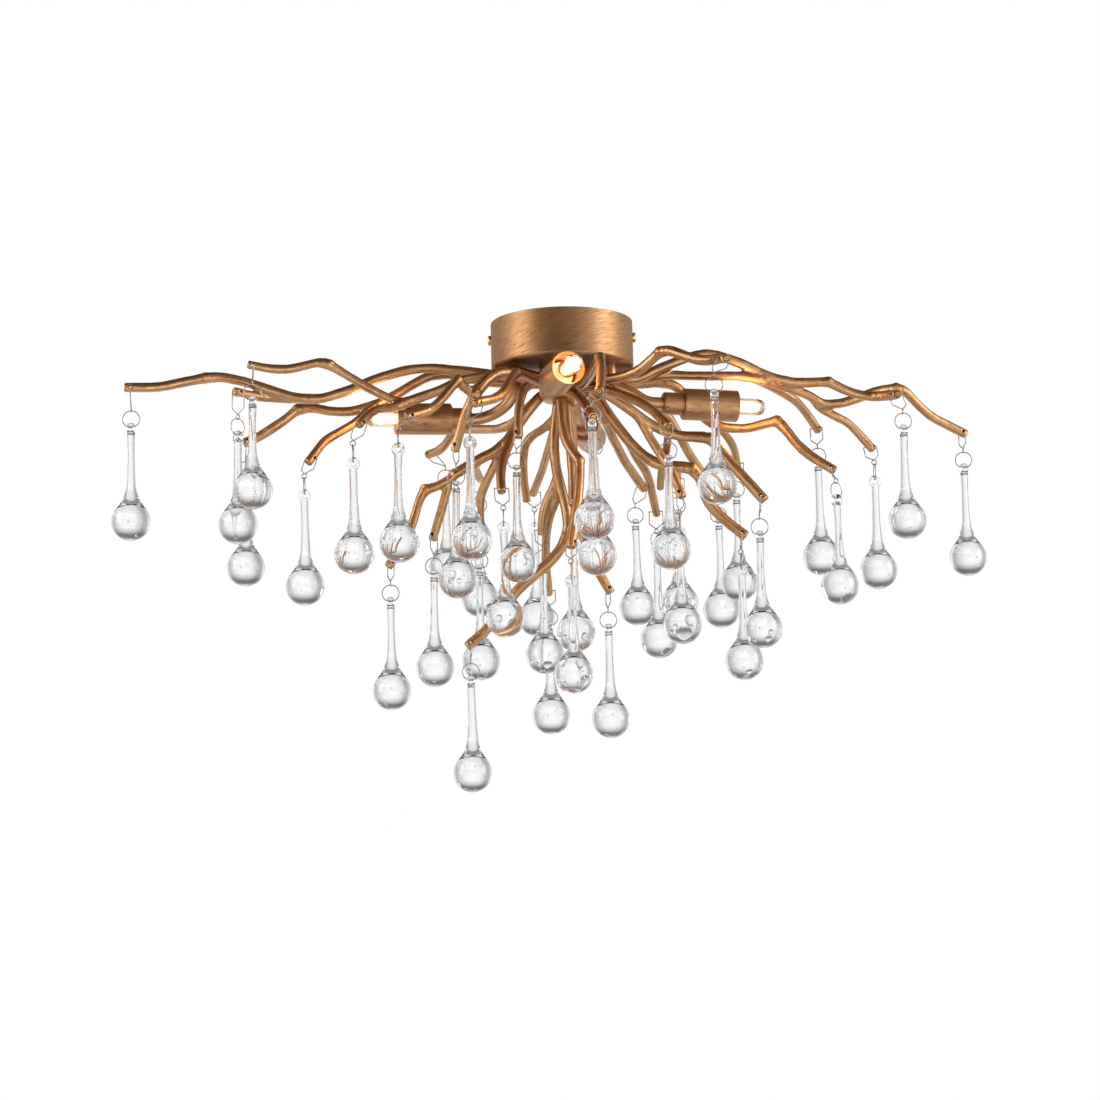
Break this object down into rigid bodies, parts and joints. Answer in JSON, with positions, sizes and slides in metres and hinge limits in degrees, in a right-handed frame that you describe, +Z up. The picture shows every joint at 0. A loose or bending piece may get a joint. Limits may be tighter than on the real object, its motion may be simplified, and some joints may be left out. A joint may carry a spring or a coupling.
{
  "type": "flush mount ceiling light",
  "caption": "Flush mount ceiling light: a round metal canopy with a spray of bent metal branches, small cup lamps and clear glass drops that swing on wire rings.",
  "frame": {"origin": "centre of the canopy's open rim, on the ceiling face", "axes": "+Z up into the ceiling, -Y towards the front, +X to the right seen from the front"},
  "size_m": [0.738, 0.377, 0.394],
  "materials": {
    "bronze_sheet": "brown bronze plating, brushed",
    "bronze_rod": "brown bronze plating, satin",
    "brass": "bright",
    "zinc_steel": "zinc plated",
    "wire": "bright wire",
    "drop_glass": "clear solid glass with a few bubbles",
    "bulb_glass": "clear lamp glass",
    "ceramic": "unglazed",
    "white_plastic": "plain",
    "lead_sheath": "silicone sheath"
  },
  "bodies": {
    "fixture": {"canopy": "bronze_sheet", "ceiling_bracket": "zinc_steel", "brass_screws": "brass", "hub": "bronze_rod", "hub_nipple": "zinc_steel", "canopy_nuts": "zinc_steel", "terminal_block": "white_plastic", "lamp_leads": "lead_sheath", "lamp_arms": "bronze_rod", "cup_collars": "bronze_sheet", "lamp_cups": "bronze_sheet", "lamp_holders": "ceramic", "bulbs": "bulb_glass", "front_boughs": "bronze_rod", "left_boughs": "bronze_rod", "right_boughs": "bronze_rod", "rear_boughs": "bronze_rod", "centre_boughs": "bronze_rod", "wire_clips": "wire", "drop_rings": "wire"},
    "glass_drop_01": {"drop_01": "drop_glass"},
    "glass_drop_02": {"drop_02": "drop_glass"},
    "glass_drop_03": {"drop_03": "drop_glass"},
    "glass_drop_04": {"drop_04": "drop_glass"},
    "glass_drop_05": {"drop_05": "drop_glass"},
    "glass_drop_06": {"drop_06": "drop_glass"},
    "glass_drop_07": {"drop_07": "drop_glass"},
    "glass_drop_08": {"drop_08": "drop_glass"},
    "glass_drop_09": {"drop_09": "drop_glass"},
    "glass_drop_10": {"drop_10": "drop_glass"},
    "glass_drop_11": {"drop_11": "drop_glass"},
    "glass_drop_12": {"drop_12": "drop_glass"},
    "glass_drop_13": {"drop_13": "drop_glass"},
    "glass_drop_14": {"drop_14": "drop_glass"},
    "glass_drop_15": {"drop_15": "drop_glass"},
    "glass_drop_16": {"drop_16": "drop_glass"},
    "glass_drop_17": {"drop_17": "drop_glass"},
    "glass_drop_18": {"drop_18": "drop_glass"},
    "glass_drop_19": {"drop_19": "drop_glass"},
    "glass_drop_20": {"drop_20": "drop_glass"},
    "glass_drop_21": {"drop_21": "drop_glass"},
    "glass_drop_22": {"drop_22": "drop_glass"},
    "glass_drop_23": {"drop_23": "drop_glass"},
    "glass_drop_24": {"drop_24": "drop_glass"},
    "glass_drop_25": {"drop_25": "drop_glass"},
    "glass_drop_26": {"drop_26": "drop_glass"},
    "glass_drop_27": {"drop_27": "drop_glass"},
    "glass_drop_28": {"drop_28": "drop_glass"},
    "glass_drop_29": {"drop_29": "drop_glass"},
    "glass_drop_30": {"drop_30": "drop_glass"},
    "glass_drop_31": {"drop_31": "drop_glass"},
    "glass_drop_32": {"drop_32": "drop_glass"},
    "glass_drop_33": {"drop_33": "drop_glass"},
    "glass_drop_34": {"drop_34": "drop_glass"},
    "glass_drop_35": {"drop_35": "drop_glass"},
    "glass_drop_36": {"drop_36": "drop_glass"},
    "glass_drop_37": {"drop_37": "drop_glass"},
    "glass_drop_38": {"drop_38": "drop_glass"},
    "glass_drop_39": {"drop_39": "drop_glass"},
    "glass_drop_40": {"drop_40": "drop_glass"}
  },
  "joints": [
    {"name": "swing_01", "type": "hinge", "parent": "fixture", "child": "glass_drop_01", "pos_m": [-0.358, -0.041, -0.09005], "axis": [1, 0, 0], "range_deg": [-25, 25]},
    {"name": "swing_02", "type": "hinge", "parent": "fixture", "child": "glass_drop_02", "pos_m": [-0.269, -0.048, -0.10005], "axis": [0.7071, 0.7071, 0], "range_deg": [-5, 25]},
    {"name": "swing_03", "type": "hinge", "parent": "fixture", "child": "glass_drop_03", "pos_m": [-0.253, -0.083, -0.07905], "axis": [1, 0, 0], "range_deg": [-25, 5]},
    {"name": "swing_04", "type": "hinge", "parent": "fixture", "child": "glass_drop_04", "pos_m": [-0.271, 0.028, -0.12105], "axis": [1, 0, 0], "range_deg": [-25, 25]},
    {"name": "swing_05", "type": "hinge", "parent": "fixture", "child": "glass_drop_05", "pos_m": [-0.218, -0.008, -0.14305], "axis": [0, 1, 0], "range_deg": [-25, 22]},
    {"name": "swing_06", "type": "hinge", "parent": "fixture", "child": "glass_drop_06", "pos_m": [-0.17, -0.108, -0.13705], "axis": [0, 1, 0], "range_deg": [-3, 25]},
    {"name": "swing_07", "type": "hinge", "parent": "fixture", "child": "glass_drop_07", "pos_m": [-0.133, -0.123, -0.12905], "axis": [0, 1, 0], "range_deg": [-25, 3]},
    {"name": "swing_08", "type": "hinge", "parent": "fixture", "child": "glass_drop_08", "pos_m": [-0.148, 0.008, -0.23305], "axis": [1, 0, 0], "range_deg": [-25, 25]},
    {"name": "swing_09", "type": "hinge", "parent": "fixture", "child": "glass_drop_09", "pos_m": [-0.112, 0.019, -0.20905], "axis": [1, 0, 0], "range_deg": [-25, 25]},
    {"name": "swing_10", "type": "hinge", "parent": "fixture", "child": "glass_drop_10", "pos_m": [-0.074, -0.184, -0.13805], "axis": [0, 1, 0], "range_deg": [-25, 25]},
    {"name": "swing_11", "type": "hinge", "parent": "fixture", "child": "glass_drop_11", "pos_m": [-0.09, -0.042, -0.14505], "axis": [1, 0, 0], "range_deg": [-25, 25]},
    {"name": "swing_12", "type": "hinge", "parent": "fixture", "child": "glass_drop_12", "pos_m": [-0.075, 0.079, -0.14605], "axis": [1, 0, 0], "range_deg": [-12, 19]},
    {"name": "swing_13", "type": "hinge", "parent": "fixture", "child": "glass_drop_13", "pos_m": [-0.052, -0.02, -0.17605], "axis": [0, 1, 0], "range_deg": [-3, 14]},
    {"name": "swing_14", "type": "hinge", "parent": "fixture", "child": "glass_drop_14", "pos_m": [-0.074, 0.038, -0.20205], "axis": [1, 0, 0], "range_deg": [-8, 11]},
    {"name": "swing_15", "type": "hinge", "parent": "fixture", "child": "glass_drop_15", "pos_m": [-0.082, 0.005, -0.30105], "axis": [1, 0, 0], "range_deg": [-25, 25]},
    {"name": "swing_16", "type": "hinge", "parent": "fixture", "child": "glass_drop_16", "pos_m": [-0.04, -0.043, -0.13305], "axis": [1, 0, 0], "range_deg": [-25, 3]},
    {"name": "swing_17", "type": "hinge", "parent": "fixture", "child": "glass_drop_17", "pos_m": [-0.027, 0.12, -0.15205], "axis": [0, 1, 0], "range_deg": [-25, 16]},
    {"name": "swing_18", "type": "hinge", "parent": "fixture", "child": "glass_drop_18", "pos_m": [-0.02, 0.027, -0.20305], "axis": [1, 0, 0], "range_deg": [-5, 10]},
    {"name": "swing_19", "type": "hinge", "parent": "fixture", "child": "glass_drop_19", "pos_m": [-0.016, 0.067, -0.24805], "axis": [1, 0, 0], "range_deg": [-10, 25]},
    {"name": "swing_20", "type": "hinge", "parent": "fixture", "child": "glass_drop_20", "pos_m": [0.003, -0.037, -0.22505], "axis": [0, 1, 0], "range_deg": [-17, 25]},
    {"name": "swing_21", "type": "hinge", "parent": "fixture", "child": "glass_drop_21", "pos_m": [0.006, -0.002, -0.18505], "axis": [0.7071, 0.7071, 0], "range_deg": [-15, 3]},
    {"name": "swing_22", "type": "hinge", "parent": "fixture", "child": "glass_drop_22", "pos_m": [0.021, -0.173, -0.12405], "axis": [1, 0, 0], "range_deg": [-25, 10]},
    {"name": "swing_23", "type": "hinge", "parent": "fixture", "child": "glass_drop_23", "pos_m": [0.023, -0.118, -0.13805], "axis": [1, 0, 0], "range_deg": [-10, 25]},
    {"name": "swing_24", "type": "hinge", "parent": "fixture", "child": "glass_drop_24", "pos_m": [0.034, 0.041, -0.25505], "axis": [1, 0, 0], "range_deg": [-25, 25]},
    {"name": "swing_25", "type": "hinge", "parent": "fixture", "child": "glass_drop_25", "pos_m": [0.062, 0.131, -0.14905], "axis": [1, 0, 0], "range_deg": [-20, 25]},
    {"name": "swing_26", "type": "hinge", "parent": "fixture", "child": "glass_drop_26", "pos_m": [0.078, 0.074, -0.18205], "axis": [0.7071, 0.7071, 0], "range_deg": [-5, 20]},
    {"name": "swing_27", "type": "hinge", "parent": "fixture", "child": "glass_drop_27", "pos_m": [0.083, -0.095, -0.13805], "axis": [1, 0, 0], "range_deg": [-25, 25]},
    {"name": "swing_28", "type": "hinge", "parent": "fixture", "child": "glass_drop_28", "pos_m": [0.094, -0.021, -0.18405], "axis": [0, 1, 0], "range_deg": [-25, 25]},
    {"name": "swing_29", "type": "hinge", "parent": "fixture", "child": "glass_drop_29", "pos_m": [0.095, 0.041, -0.15805], "axis": [1, 0, 0], "range_deg": [-25, 5]},
    {"name": "swing_30", "type": "hinge", "parent": "fixture", "child": "glass_drop_30", "pos_m": [0.121, -0.106, -0.08705], "axis": [1, 0, 0], "range_deg": [-25, 25]},
    {"name": "swing_31", "type": "hinge", "parent": "fixture", "child": "glass_drop_31", "pos_m": [0.135, 0.122, -0.15205], "axis": [1, 0, 0], "range_deg": [-4, 25]},
    {"name": "swing_32", "type": "hinge", "parent": "fixture", "child": "glass_drop_32", "pos_m": [0.149, 0.087, -0.13605], "axis": [1, 0, 0], "range_deg": [-25, 4]},
    {"name": "swing_33", "type": "hinge", "parent": "fixture", "child": "glass_drop_33", "pos_m": [0.146, 0.012, -0.21205], "axis": [0, 1, 0], "range_deg": [-9, 25]},
    {"name": "swing_34", "type": "hinge", "parent": "fixture", "child": "glass_drop_34", "pos_m": [0.16, -0.022, -0.18905], "axis": [1, 0, 0], "range_deg": [-25, 5]},
    {"name": "swing_35", "type": "hinge", "parent": "fixture", "child": "glass_drop_35", "pos_m": [0.221, 0.088, -0.10805], "axis": [1, 0, 0], "range_deg": [-13, 25]},
    {"name": "swing_36", "type": "hinge", "parent": "fixture", "child": "glass_drop_36", "pos_m": [0.231, 0.04, -0.14805], "axis": [0.7071, 0.7071, 0], "range_deg": [-25, 13]},
    {"name": "swing_37", "type": "hinge", "parent": "fixture", "child": "glass_drop_37", "pos_m": [0.267, 0.063, -0.12805], "axis": [0, 1, 0], "range_deg": [-25, 13]},
    {"name": "swing_38", "type": "hinge", "parent": "fixture", "child": "glass_drop_38", "pos_m": [0.287, 0.012, -0.09505], "axis": [1, 0, 0], "range_deg": [-25, 22]},
    {"name": "swing_39", "type": "hinge", "parent": "fixture", "child": "glass_drop_39", "pos_m": [0.348, 0.09, -0.11405], "axis": [1, 0, 0], "range_deg": [-25, 25]},
    {"name": "swing_40", "type": "hinge", "parent": "fixture", "child": "glass_drop_40", "pos_m": [-0.106, 0.161, -0.10505], "axis": [1, 0, 0], "range_deg": [-25, 25]}
  ]
}
